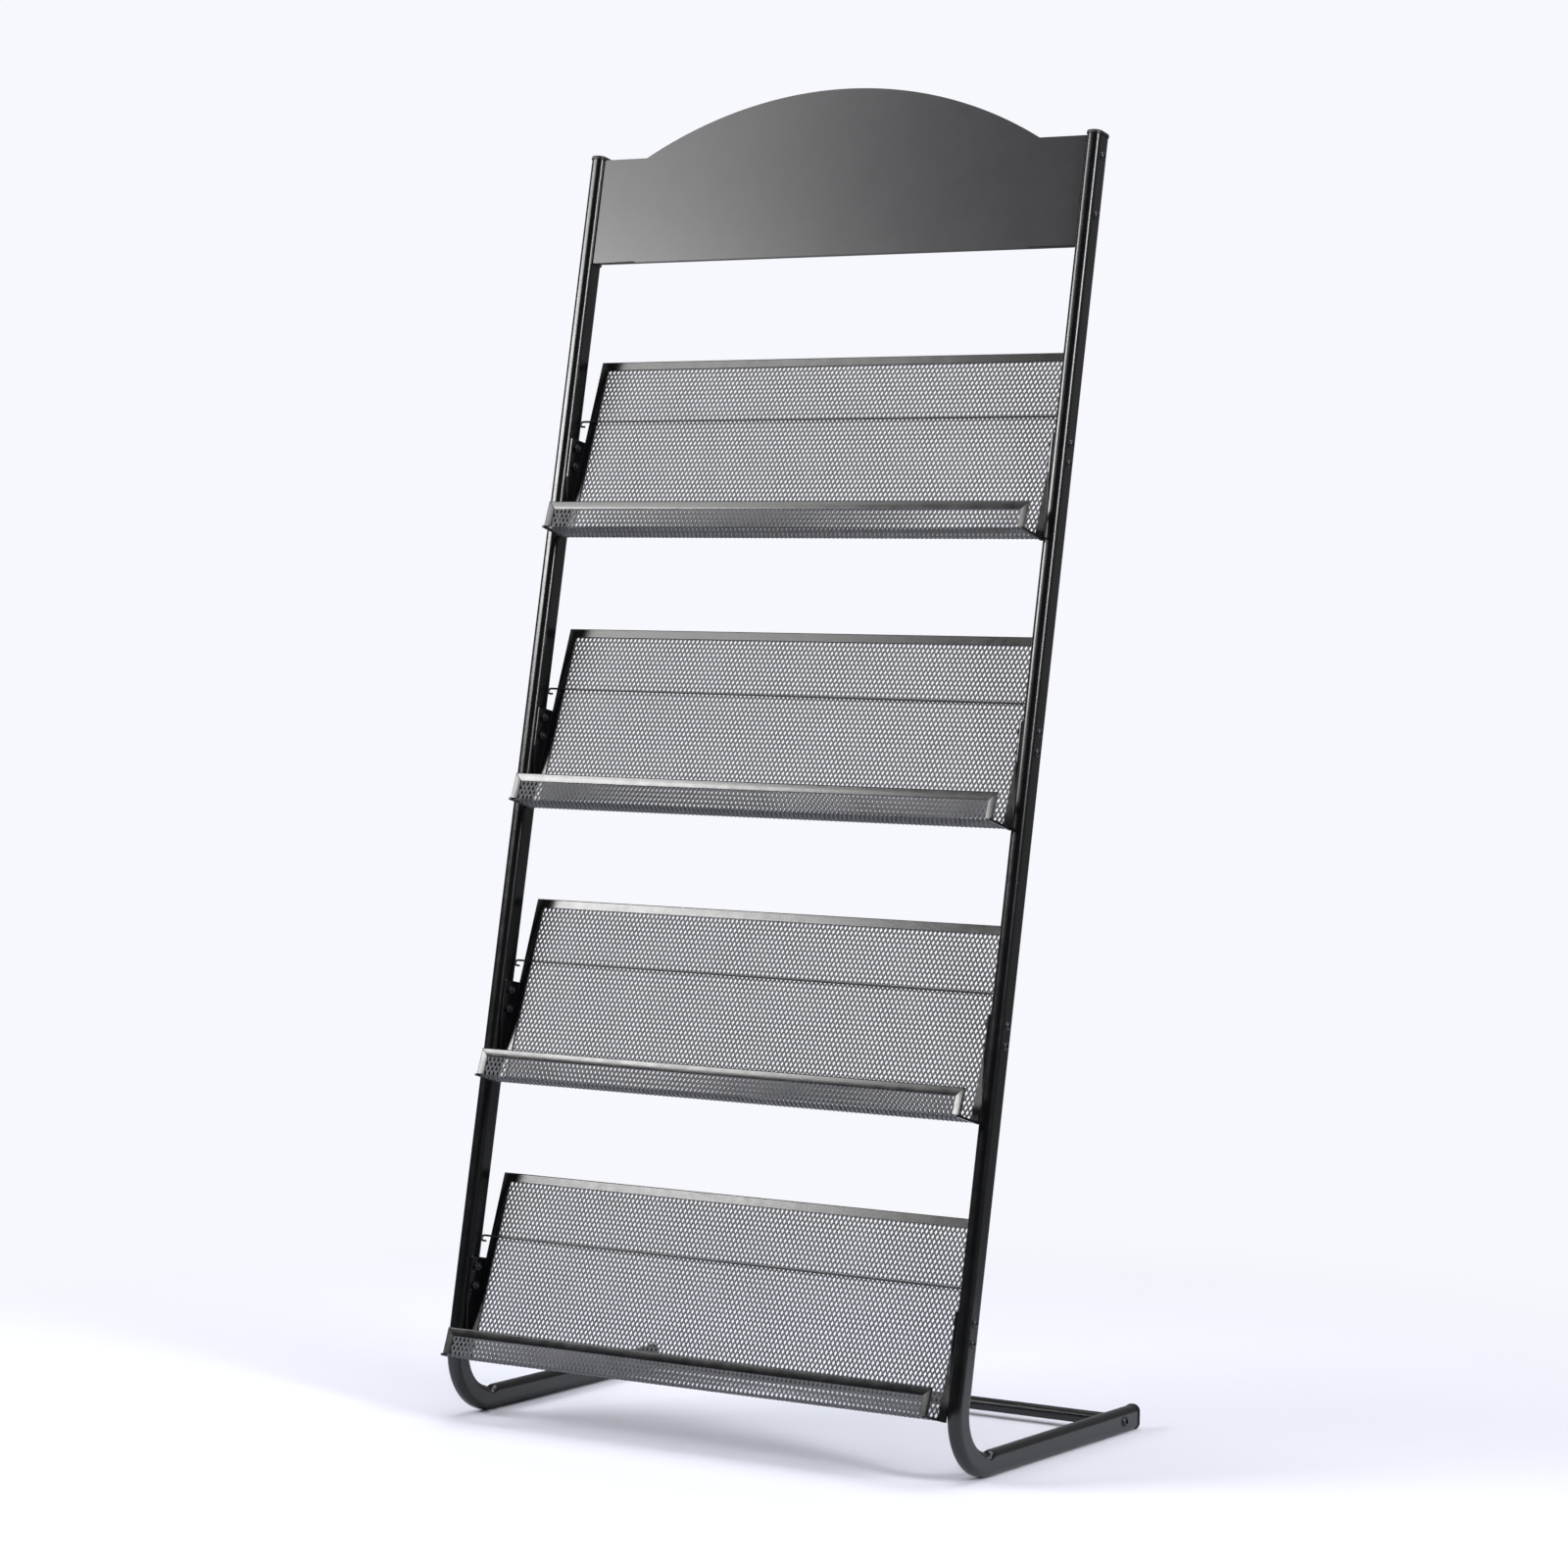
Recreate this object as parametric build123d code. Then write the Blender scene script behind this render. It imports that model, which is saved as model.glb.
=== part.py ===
from build123d import *
import math
import os

# Four-tier newspaper rack: two leaning flat-oval steel legs with feet that run back along the floor, a
# header sign between them, and four expanded-metal trays bolted between the posts.  Millimetres.
# X runs across the rack, Y from front to back, Z up.  The origin is on the floor, under the middle of
# the rack's outline.

# ---- Driving dimensions -----------------------------------------------------------------------------
RACK_WIDTH = 560.0            # outside to outside of the two posts
POST_LENGTH = 1227.2          # floor line to the top of the plug, along the post's front face
LEAN_ANGLE = 10.8             # backward lean of the posts from vertical
FOOT_LENGTH = 356.0           # from the foot of the post's front line to the foot's rear end

TUBE_WIDTH = 14.0             # flat-oval tube, across the rack
TUBE_DEPTH = 23.0             # flat-oval tube, front to back on the post, up and down on the foot
TUBE_FLAT = 2.0               # narrow flat between the rounded corners, which the feet stand on
TUBE_WALL = 1.4
BEND_RADIUS = 50.5            # centre line of the bend between post and foot
JOINT_HEIGHT = 687.0          # along the post, where leg and upper post meet
SPIGOT_LENGTH = 45.0          # drawn-down end of the leg inside the upper post
SPIGOT_WALL = 1.2
PLUG_CAP = 3.5                # visible thickness of the tube plugs
PLUG_OVERHANG = 0.7           # how far the plug's cap stands out around the tube
PLUG_STEM = 14.0              # length of the plug inside the tube
PLUG_EDGE = 1.0               # rounding of the plug's outer edge

CROSSBAR_DIAMETER = 12.6
CROSSBAR_WALL = 1.5
CROSSBAR_SLUG = 18.0          # solid threaded end of the crossbar
CROSSBAR_SETBACK = 30.0       # crossbar's centre line ahead of the foot's rear end
CROSSBAR_BOLT = 6.0
CROSSBAR_BOLT_HEAD = 10.0
CROSSBAR_BOLT_GRIP = 12.0     # thread length inside the crossbar's end

HEADER_DROP = 0.5             # header's shoulders below the ends of the post tubes
HEADER_SHOULDER = 103.5       # height of the header's straight ends
HEADER_ARCH_RISE = 57.5       # the arch's height over the shoulders
HEADER_SHOULDER_RUN = 49.5    # flat shoulder outside the arch, each side
HEADER_SETBACK = 5.0          # header's face behind the posts' front line
HEADER_SHEET = 1.5
HEADER_FLANGE = 14.0          # side flanges, folded back along the posts
HEADER_HEM = 5.0              # folded bottom edge
HEADER_SCREW_DROPS = (18.5, 74.0)    # screws below the shoulder line

TRAY_COUNT = 4
TRAY_FIRST = 59.2             # lowest tray's rear fold, along the post
TRAY_HEADROOM = 90.0          # from the top tray's back panel to the header, along the post
TRAY_SETBACK = 9.5            # rear fold behind the posts' front line
TRAY_TILT = 9.4               # back panel's lean relative to the post
TRAY_BACK_HEIGHT = 182.0
TRAY_FLOOR_DEPTH = 34.5
TRAY_FLOOR_DROOP = 5.0        # the floor's fall towards the lip, from square to the back
TRAY_LIP_HEIGHT = 26.5        # from the front fold to the lip's top edge
MESH_THICKNESS = 0.8
MESH_FOLD = 2.0               # centre-line radius of the folds
BACK_RIM = 8.5                # width of the folded rim round the back panel
LIP_RIM = 8.0
RIM_THICKNESS = 2.4
STRIP_WIDTH = 3.0             # binding strip along each end of the tray's floor
STRIP_NUB = 3.0               # how far the strip stands out past the lip

WIRE_DIAMETER = 2.0
WIRE_HOOK_RADIUS = 2.6        # centre line of the hairpin at each end
WIRE_OVERHANG = 9.5           # wire beyond the side rim, to the outside of the hairpin
WIRE_TAIL = 3.0               # straight return after the hairpin
WIRE_POST_CLEARANCE = 1.9     # between the hairpin and the back of the post

BRACKET_THICKNESS = 3.0       # fills the gap between the tray's end and the post
BRACKET_FRONT = 4.5           # bracket's front edge behind the posts' front line
BRACKET_TOP = 97.0            # above the rear fold, along the post
BRACKET_SHOULDER = 60.0       # where the gusset starts to narrow
BRACKET_FOOT = 12.0           # lower tip of the gusset
TRAY_BOLTS = (70.0, 88.0)     # bolt heights above the rear fold
SCREW_DIAMETER = 4.0
SCREW_HEAD = 8.0
SCREW_HEAD_HEIGHT = 2.4
SCREW_HEAD_ROUND = 1.6
SCREW_TAIL = 1.5              # thread that shows past the nut
HOLE_CLEARANCE = 0.3          # on the diameter of the plain holes
NUT_ACROSS_FLATS = 7.0
NUT_HEIGHT = 3.2

# ---- Values that follow -----------------------------------------------------------------------------
POST_INNER = RACK_WIDTH / 2 - TUBE_WIDTH
POST_CENTRE = RACK_WIDTH / 2 - TUBE_WIDTH / 2
TRAY_HALF = POST_INNER - BRACKET_THICKNESS
POST_AXIS = TUBE_DEPTH / 2
TUBE_CORNER = (TUBE_WIDTH - TUBE_FLAT) / 2
CROSSBAR_Y = FOOT_LENGTH - CROSSBAR_SETBACK
HEADER_BOTTOM = POST_LENGTH - PLUG_CAP - HEADER_DROP - HEADER_SHOULDER
TRAY_RISE = TRAY_BACK_HEIGHT * math.cos(math.radians(TRAY_TILT))
TRAY_SPACING = (HEADER_BOTTOM - TRAY_HEADROOM - TRAY_RISE - TRAY_FIRST) / (TRAY_COUNT - 1)
POST_FRAME = Rot(-LEAN_ANGLE, 0, 0)          # local y runs back through the post, local z up along it


def along_post(back, up):
    """World (y, z) of a point given in the post's own directions."""
    lean = math.radians(LEAN_ANGLE)
    return (up * math.sin(lean) + back * math.cos(lean), up * math.cos(lean) - back * math.sin(lean))


def tube_section(inset):
    """Flat-oval outline, shrunk by inset on every side."""
    return RectangleRounded(TUBE_WIDTH - 2 * inset, TUBE_DEPTH - 2 * inset, TUBE_CORNER - inset)


def both_sides(shape):
    """The shape and its mirror image across the middle of the rack."""
    return Compound([shape, mirror(shape, about=Plane.YZ)])


# ---- Frame ------------------------------------------------------------------------------------------
def leg_path():
    """Centre line of the leg, from the foot's rear end round the bend and up to the joint."""
    heel = (POST_CENTRE, FOOT_LENGTH - PLUG_CAP, TUBE_DEPTH / 2)
    level = TUBE_DEPTH / 2
    lean = math.radians(LEAN_ANGLE)
    up_to_level = (level + POST_AXIS * math.sin(lean)) / math.cos(lean)
    corner_y, corner_z = along_post(POST_AXIS, up_to_level)
    top_y, top_z = along_post(POST_AXIS, JOINT_HEIGHT)
    corners = [heel, (POST_CENTRE, corner_y, corner_z), (POST_CENTRE, top_y, top_z)]
    return FilletPolyline(*corners, radius=BEND_RADIUS)


def leg():
    """Bent tube: foot, bend and lower half of the post, with a drawn-down spigot at its top."""
    path = leg_path()
    start = Plane(origin=path @ 0, x_dir=(1, 0, 0), z_dir=path % 0)
    outside = sweep(start * tube_section(0), path=path)
    bore = sweep(start * tube_section(TUBE_WALL), path=path)
    neck = extrude(tube_section(TUBE_WALL) - tube_section(TUBE_WALL + SPIGOT_WALL), 2 * SPIGOT_LENGTH)
    neck = POST_FRAME * Pos(POST_CENTRE, POST_AXIS, JOINT_HEIGHT - SPIGOT_LENGTH) * neck
    bolt_hole = cross_hole(CROSSBAR_BOLT + HOLE_CLEARANCE, CROSSBAR_Y, TUBE_DEPTH / 2)
    tube = outside - bore + neck - bolt_hole
    for level in bolt_levels():
        if level < JOINT_HEIGHT + SPIGOT_LENGTH + SCREW_DIAMETER:
            tube -= POST_FRAME * cross_hole(SCREW_DIAMETER + HOLE_CLEARANCE, POST_AXIS, level)
    return tube


def upper_post():
    """Straight tube from the joint to the plug at the top."""
    length = POST_LENGTH - PLUG_CAP - JOINT_HEIGHT
    tube = extrude(tube_section(0) - tube_section(TUBE_WALL), length)
    tube = Pos(POST_CENTRE, POST_AXIS, JOINT_HEIGHT) * tube
    for level in bolt_levels() + header_screw_levels():
        if level > JOINT_HEIGHT - SCREW_DIAMETER:
            tube -= cross_hole(SCREW_DIAMETER + HOLE_CLEARANCE, POST_AXIS, level)
    return POST_FRAME * tube


def cross_hole(diameter, back, up):
    """Cutter for a hole straight through the right-hand tube."""
    return Pos(POST_CENTRE, back, up) * Rot(0, 90, 0) * Cylinder(diameter / 2, 2 * TUBE_WIDTH)


def plug():
    """Tube plug: cap on top of the tube's end face, stem inside it."""
    cap = extrude(tube_section(-PLUG_OVERHANG), PLUG_CAP)
    cap = fillet(cap.faces().sort_by(Axis.Z)[-1].edges(), PLUG_EDGE)
    stem = extrude(tube_section(TUBE_WALL), -PLUG_STEM)
    return cap + stem


def post_plug():
    return POST_FRAME * Pos(POST_CENTRE, POST_AXIS, POST_LENGTH - PLUG_CAP) * plug()


def foot_plug():
    """The same plug in the foot's rear end, cut flush with the floor."""
    placed = Pos(POST_CENTRE, FOOT_LENGTH - PLUG_CAP, TUBE_DEPTH / 2) * Rot(-90, 0, 0) * plug()
    above_floor = Box(RACK_WIDTH, FOOT_LENGTH, 2 * TUBE_DEPTH, align=(Align.CENTER, Align.CENTER, Align.MIN))
    return placed & Pos(POST_CENTRE, FOOT_LENGTH, 0) * above_floor


def crossbar():
    """Round tube between the feet, with a threaded slug in each end."""
    length = 2 * POST_INNER
    bar = Cylinder(CROSSBAR_DIAMETER / 2, length)
    bar -= Cylinder(CROSSBAR_DIAMETER / 2 - CROSSBAR_WALL, length - 2 * CROSSBAR_SLUG)
    bar -= Cylinder(CROSSBAR_BOLT / 2, length)
    return Pos(0, CROSSBAR_Y, TUBE_DEPTH / 2) * Rot(0, 90, 0) * bar


# ---- Fasteners --------------------------------------------------------------------------------------
def round_head(diameter, height):
    """Low domed screw head standing on the z = 0 plane."""
    head = extrude(Circle(diameter / 2), height)
    return fillet(head.faces().sort_by(Axis.Z)[-1].edges(), height * SCREW_HEAD_ROUND / SCREW_HEAD_HEIGHT)


def screw(diameter, head_diameter, head_height, reach):
    """Screw along -x with its head outside the right-hand tube and its tip reach inside the tube."""
    shank = extrude(Circle(diameter / 2), -(TUBE_WIDTH + reach))
    return Pos(RACK_WIDTH / 2, 0, 0) * Rot(0, 90, 0) * (round_head(head_diameter, head_height) + shank)


def nut():
    """Hexagon nut against the inner face of the tray's bracket."""
    blank = extrude(RegularPolygon(NUT_ACROSS_FLATS / 2, 6, major_radius=False), NUT_HEIGHT)
    blank -= extrude(Circle(SCREW_DIAMETER / 2), NUT_HEIGHT)
    return Pos(TRAY_HALF, 0, 0) * Rot(0, -90, 0) * blank


def bolt_levels():
    """Height of every tray bolt along the post."""
    return [fold + above for fold in tray_folds() for above in TRAY_BOLTS]


def header_screw_levels():
    return [HEADER_BOTTOM + HEADER_SHOULDER - drop for drop in HEADER_SCREW_DROPS]


# ---- Header sign ------------------------------------------------------------------------------------
def header_outline():
    """Face of the sign: straight ends, flat shoulders and a shallow arch."""
    half = POST_INNER
    arch_half = half - HEADER_SHOULDER_RUN
    shoulder = HEADER_SHOULDER
    arch = ThreePointArc(
        (arch_half, shoulder), (0, shoulder + HEADER_ARCH_RISE), (-arch_half, shoulder)
    )
    rim = Polyline(
        (-arch_half, shoulder), (-half, shoulder), (-half, 0), (half, 0), (half, shoulder), (arch_half, shoulder)
    )
    return make_face([arch, rim])


def header_panel():
    """Sheet sign with side flanges folded back against the posts and a hemmed bottom edge."""
    upright = Plane(origin=(0, HEADER_SETBACK, HEADER_BOTTOM), x_dir=(1, 0, 0), z_dir=(0, -1, 0))
    sheet = extrude(upright * header_outline(), -HEADER_SHEET)
    flange = Pos(0, HEADER_SETBACK, HEADER_BOTTOM) * Box(
        HEADER_SHEET, HEADER_FLANGE, HEADER_SHOULDER, align=(Align.MAX, Align.MIN, Align.MIN)
    )
    for level in header_screw_levels():
        tapped = Rot(0, 90, 0) * Cylinder(SCREW_DIAMETER / 2, 4 * HEADER_SHEET)
        flange -= Pos(0, POST_AXIS, level) * tapped
    flange = Pos(POST_INNER, 0, 0) * flange
    hem = Pos(0, HEADER_SETBACK, HEADER_BOTTOM) * Box(
        2 * POST_INNER, HEADER_HEM, HEADER_SHEET, align=(Align.CENTER, Align.MIN, Align.MIN)
    )
    return POST_FRAME * (sheet + flange + mirror(flange, about=Plane.YZ) + hem)


def header_screws():
    one = screw(SCREW_DIAMETER, SCREW_HEAD, SCREW_HEAD_HEIGHT, HEADER_SHEET + SCREW_TAIL)
    placed = [POST_FRAME * Pos(0, POST_AXIS, level) * one for level in header_screw_levels()]
    return Compound([copy for item in placed for copy in both_sides(item).solids()])


# ---- Trays ------------------------------------------------------------------------------------------
def tray_folds():
    """Height of each tray's rear fold along the post, top tray first."""
    return [TRAY_FIRST + TRAY_SPACING * step for step in reversed(range(TRAY_COUNT))]


def tray_frame(fold):
    """Frame with its origin on the rear fold, z up the back panel and y to the rear."""
    return POST_FRAME * Pos(0, TRAY_SETBACK, fold) * Rot(-TRAY_TILT, 0, 0)


def front_fold():
    """(y, z) of the front fold in the tray's frame."""
    droop = math.radians(TRAY_FLOOR_DROOP)
    return (-TRAY_FLOOR_DEPTH * math.cos(droop), -TRAY_FLOOR_DEPTH * math.sin(droop))


def lip_plane(fold_point):
    """Frame on the front fold, z up the lip."""
    return Pos(0, fold_point[0], fold_point[1])


def rim_top(half, width, height):
    """Top rim with mitred ends, lying in the plane y = 0."""
    corners = [(-half, height), (half, height), (half - width, height - width), (width - half, height - width)]
    return flat_rim(corners)


def rim_side(half, width, height):
    """Right-hand side rim, mitred at its top, lying in the plane y = 0."""
    corners = [(half, height), (half, 0), (half - width, 0), (half - width, height - width)]
    return flat_rim(corners)


def flat_rim(corners):
    face = make_face(Polyline(*corners, close=True))
    return Pos(0, RIM_THICKNESS / 2, 0) * extrude(Plane.XZ * face, RIM_THICKNESS)


def floor_strip():
    """Right-hand binding strip along the floor's end, with its nub standing out past the lip."""
    length = TRAY_FLOOR_DEPTH + RIM_THICKNESS / 2 + STRIP_NUB
    strip = Box(STRIP_WIDTH, length + RIM_THICKNESS / 2, RIM_THICKNESS, align=(Align.MAX, Align.MIN, Align.CENTER))
    return Rot(TRAY_FLOOR_DROOP, 0, 0) * Pos(TRAY_HALF, -length, 0) * strip


def mesh_sheet():
    """Expanded-metal sheet folded into back, floor and lip, as a plain thin sheet."""
    fold_y, fold_z = front_fold()
    points = [(0, TRAY_BACK_HEIGHT), (0, 0), (fold_y, fold_z), (fold_y, fold_z + TRAY_LIP_HEIGHT)]
    path = FilletPolyline(*[(0, y, z) for y, z in points], radius=MESH_FOLD)
    start = Plane(origin=path @ 0, x_dir=(1, 0, 0), z_dir=path % 0)
    return sweep(start * Rectangle(2 * TRAY_HALF, MESH_THICKNESS), path=path)


def wire_height():
    """Height of the wire up the back panel, where its hairpins just clear the back of the post."""
    tilt = math.radians(TRAY_TILT)
    lowest = 2 * WIRE_HOOK_RADIUS * math.sin(tilt)
    stand_off = (RIM_THICKNESS + WIRE_DIAMETER) / 2 * math.cos(tilt) + WIRE_DIAMETER / 2
    back_of_post = TUBE_DEPTH - TRAY_SETBACK
    return (back_of_post + WIRE_POST_CLEARANCE + stand_off + lowest) / math.sin(tilt)


def wire():
    """Retaining wire across the back panel, with a hairpin turned down behind each post."""
    level = wire_height()
    bend_x = TRAY_HALF + WIRE_OVERHANG - WIRE_HOOK_RADIUS - WIRE_DIAMETER / 2
    low = level - 2 * WIRE_HOOK_RADIUS
    middle = level - WIRE_HOOK_RADIUS
    far = bend_x + WIRE_HOOK_RADIUS
    halves = []
    for side in (1, -1):
        halves.append(ThreePointArc((side * bend_x, 0, level), (side * far, 0, middle), (side * bend_x, 0, low)))
        halves.append(Line((side * bend_x, 0, low), (side * (bend_x - WIRE_TAIL), 0, low)))
    run = Line((-bend_x, 0, level), (bend_x, 0, level))
    path = Wire([run] + halves)
    start = Plane(origin=path @ 0, z_dir=path % 0)
    rod = sweep(start * Circle(WIRE_DIAMETER / 2), path=path)
    return Pos(0, -(RIM_THICKNESS + WIRE_DIAMETER) / 2, 0) * rod


def bracket():
    """Right-hand bracket plate with its gusset, in the post's directions from the rear fold."""
    slope = math.tan(math.radians(TRAY_TILT))
    rear = RIM_THICKNESS / 2
    corners = [
        (BRACKET_FRONT, BRACKET_TOP),
        (BRACKET_FRONT, BRACKET_SHOULDER),
        (TRAY_SETBACK + BRACKET_FOOT * slope - rear, BRACKET_FOOT),
        (TRAY_SETBACK + BRACKET_FOOT * slope + rear, BRACKET_FOOT),
        (TRAY_SETBACK + BRACKET_TOP * slope + rear, BRACKET_TOP),
    ]
    face = make_face(Polyline(*[(0, y, z) for y, z in corners], close=True))
    plate = Pos(TRAY_HALF, 0, 0) * extrude(face, BRACKET_THICKNESS, dir=(1, 0, 0))
    for above in TRAY_BOLTS:
        hole = Rot(0, 90, 0) * Cylinder((SCREW_DIAMETER + HOLE_CLEARANCE) / 2, 4 * BRACKET_THICKNESS)
        plate -= Pos(TRAY_HALF, POST_AXIS, above) * hole
    return plate


def tray_bolts(part):
    """The part, a bolt or a nut, at every bolt of one tray, both sides."""
    placed = [Pos(0, POST_AXIS, above) * part for above in TRAY_BOLTS]
    return Compound([copy for item in placed for copy in both_sides(item).solids()])


def tray(fold):
    """Every piece of one tray, by name, in place."""
    lip = lip_plane(front_fold())
    strip = floor_strip()
    back_top = rim_top(TRAY_HALF, BACK_RIM, TRAY_BACK_HEIGHT)
    back_side = rim_side(TRAY_HALF, BACK_RIM, TRAY_BACK_HEIGHT) - strip
    lip_top = lip * rim_top(TRAY_HALF, LIP_RIM, TRAY_LIP_HEIGHT)
    lip_side = lip * rim_side(TRAY_HALF, LIP_RIM, TRAY_LIP_HEIGHT) - strip
    sheet = mesh_sheet() - back_top - lip_top
    for end in (strip, back_side, lip_side):
        sheet = sheet - end - mirror(end, about=Plane.YZ)
    place = tray_frame(fold)
    at_fold = POST_FRAME * Pos(0, 0, fold)
    reach = BRACKET_THICKNESS + NUT_HEIGHT + SCREW_TAIL
    bolt = screw(SCREW_DIAMETER, SCREW_HEAD, SCREW_HEAD_HEIGHT, reach)
    return {
        "mesh": place * sheet,
        "back_top_rim": place * back_top,
        "back_side_rims": place * both_sides(back_side),
        "lip_top_rim": place * lip_top,
        "lip_side_rims": place * both_sides(lip_side),
        "floor_strips": place * both_sides(strip),
        "wire": place * wire(),
        "brackets": at_fold * both_sides(bracket()),
        "bolts": at_fold * tray_bolts(bolt),
        "nuts": at_fold * tray_bolts(nut()),
    }


# ---- The whole rack ---------------------------------------------------------------------------------
def rack():
    """Every piece by node name."""
    right_leg = leg()
    right_post = upper_post()
    bolt = screw(CROSSBAR_BOLT, CROSSBAR_BOLT_HEAD, SCREW_HEAD_HEIGHT, CROSSBAR_BOLT_GRIP)
    nodes = {
        "right_leg": right_leg,
        "left_leg": mirror(right_leg, about=Plane.YZ),
        "right_post": right_post,
        "left_post": mirror(right_post, about=Plane.YZ),
        "post_plugs": both_sides(post_plug()),
        "foot_plugs": both_sides(foot_plug()),
        "crossbar": crossbar(),
        "crossbar_bolts": both_sides(Pos(0, CROSSBAR_Y, TUBE_DEPTH / 2) * bolt),
        "header_panel": header_panel(),
        "header_screws": header_screws(),
    }
    for number, fold in enumerate(tray_folds(), start=1):
        for name, piece in tray(fold).items():
            nodes[f"tray_{number}_{name}"] = piece
    return nodes


def main():
    os.makedirs("parts", exist_ok=True)
    nodes = rack()
    outline = Compound(list(nodes.values())).bounding_box()
    to_origin = Pos(-outline.center().X, -outline.center().Y, -outline.min.Z)
    for name, piece in nodes.items():
        export_step(to_origin * piece, f"parts/{name}.step")


main()
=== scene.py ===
import math

import bmesh
import bpy
from mathutils import Matrix, Vector


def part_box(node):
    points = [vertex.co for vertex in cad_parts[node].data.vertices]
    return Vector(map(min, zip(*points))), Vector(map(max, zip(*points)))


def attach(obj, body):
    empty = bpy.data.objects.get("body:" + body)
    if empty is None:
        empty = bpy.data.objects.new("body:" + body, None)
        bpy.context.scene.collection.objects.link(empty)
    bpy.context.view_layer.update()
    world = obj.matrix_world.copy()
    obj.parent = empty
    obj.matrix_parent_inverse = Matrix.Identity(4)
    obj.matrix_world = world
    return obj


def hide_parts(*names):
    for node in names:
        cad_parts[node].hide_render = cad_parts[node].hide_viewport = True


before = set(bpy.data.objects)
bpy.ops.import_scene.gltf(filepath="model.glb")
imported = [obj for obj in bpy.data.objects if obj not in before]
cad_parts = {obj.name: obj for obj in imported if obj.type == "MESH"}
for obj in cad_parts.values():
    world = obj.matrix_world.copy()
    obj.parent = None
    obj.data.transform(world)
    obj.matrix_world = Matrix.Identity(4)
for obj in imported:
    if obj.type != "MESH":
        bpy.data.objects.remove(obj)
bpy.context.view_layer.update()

# Newspaper rack: two leaning flat-oval steel legs whose feet run back along the floor, a header sign
# between them and four expanded-metal trays bolted between the posts.  Sizes are in millimetres; every
# piece is shaped in millimetres and set down in metres.


# ---- The two legs -----------------------------------------------------------------------------------
# Flat-oval steel tube, bent once between the foot and the lower half of the post, with its top end
# drawn down to a spigot for the upper post.  Powder-coated black after welding and drilling.
lean = math.radians(10.8)
tube_width, tube_depth, tube_corner, tube_wall = 14.0, 23.0, 6.0, 1.4
bend_radius = 50.5
joint_height = 687.0
spigot_length = 45.0
plug_cap = 3.5
foot_length = 356.0
post_centre = (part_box("right_post")[1].x * 1000) - tube_width / 2
# Where the line of the posts' front faces meets the floor.
floor_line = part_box("foot_plugs")[1].y * 1000 - foot_length

to_metres = Matrix.Scale(0.001, 4)
on_floor = to_metres @ Matrix.Translation((0, floor_line, 0))
on_post = on_floor @ Matrix.Rotation(-lean, 4, "X")     # y runs back through the post, z up along it


def colour(hex_code):
    """Linear colour of an sRGB hex value."""
    parts = [int(hex_code[i:i + 2], 16) / 255 for i in (1, 3, 5)]
    return [p / 12.92 if p <= 0.04045 else ((p + 0.055) / 1.055) ** 2.4 for p in parts] + [1.0]


def add_node(material, kind, settings=None, **links):
    """Adds a node with its settings; links names an input and gives its source socket or its value."""
    node = material.node_tree.nodes.new(kind)
    for name, value in (settings or {}).items():
        setattr(node, name, value)
    for name, source in links.items():
        socket = node.inputs[name.replace("_", " ")]
        if isinstance(source, bpy.types.NodeSocket):
            material.node_tree.links.new(source, socket)
        else:
            socket.default_value = source
    return node


def powder_coat(name, dark, light, gloss, spread, peel=1.6, peel_height=0.02, index=1.5):
    """Baked powder paint: an even, slightly satin skin with orange peel a millimetre or two across.

    dark and light are the ends of its faint shade variation; gloss is the mean roughness and spread how
    far it wanders where the film is thinner or has been rubbed.  peel and peel_height are millimetres;
    index is the film's refractive index.  The colour clouds over a few centimetres and the rubbed patches
    are about a centimetre across, so that long tubes and broad sheets don't look like moulded plastic.
    """
    cloud_scale, rub_scale, darkest, lightest = 28.0, 90.0, 0.35, 0.68
    paint = bpy.data.materials.new(name)
    paint.use_nodes = True
    paint.node_tree.nodes.clear()
    place = add_node(paint, "ShaderNodeTexCoord").outputs["Object"]
    cloud = add_node(paint, "ShaderNodeTexNoise", Vector=place, Scale=cloud_scale, Detail=3.0,
                     Roughness=0.6)
    shade = add_node(paint, "ShaderNodeValToRGB", Fac=cloud.outputs["Fac"])
    for stop, position, tone in zip(shade.color_ramp.elements, (darkest, lightest), (dark, light)):
        stop.position, stop.color = position, colour(tone)
    rub = add_node(paint, "ShaderNodeTexNoise", Vector=place, Scale=rub_scale, Detail=4.0, Roughness=0.55)
    rough = add_node(paint, "ShaderNodeMapRange", Value=rub.outputs["Fac"], From_Min=0.3, From_Max=0.7,
                     To_Min=gloss - spread, To_Max=gloss + spread)
    grain = add_node(paint, "ShaderNodeTexNoise", Vector=place, Scale=1000.0 / peel, Detail=1.0,
                     Roughness=0.4)
    bump = add_node(paint, "ShaderNodeBump", Height=grain.outputs["Fac"], Distance=peel_height / 1000,
                    Strength=1.0)
    skin = add_node(paint, "ShaderNodeBsdfPrincipled", IOR=index, Base_Color=shade.outputs["Color"],
                    Roughness=rough.outputs["Result"], Normal=bump.outputs["Normal"])
    add_node(paint, "ShaderNodeOutputMaterial", Surface=skin.outputs["BSDF"])
    return paint


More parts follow.
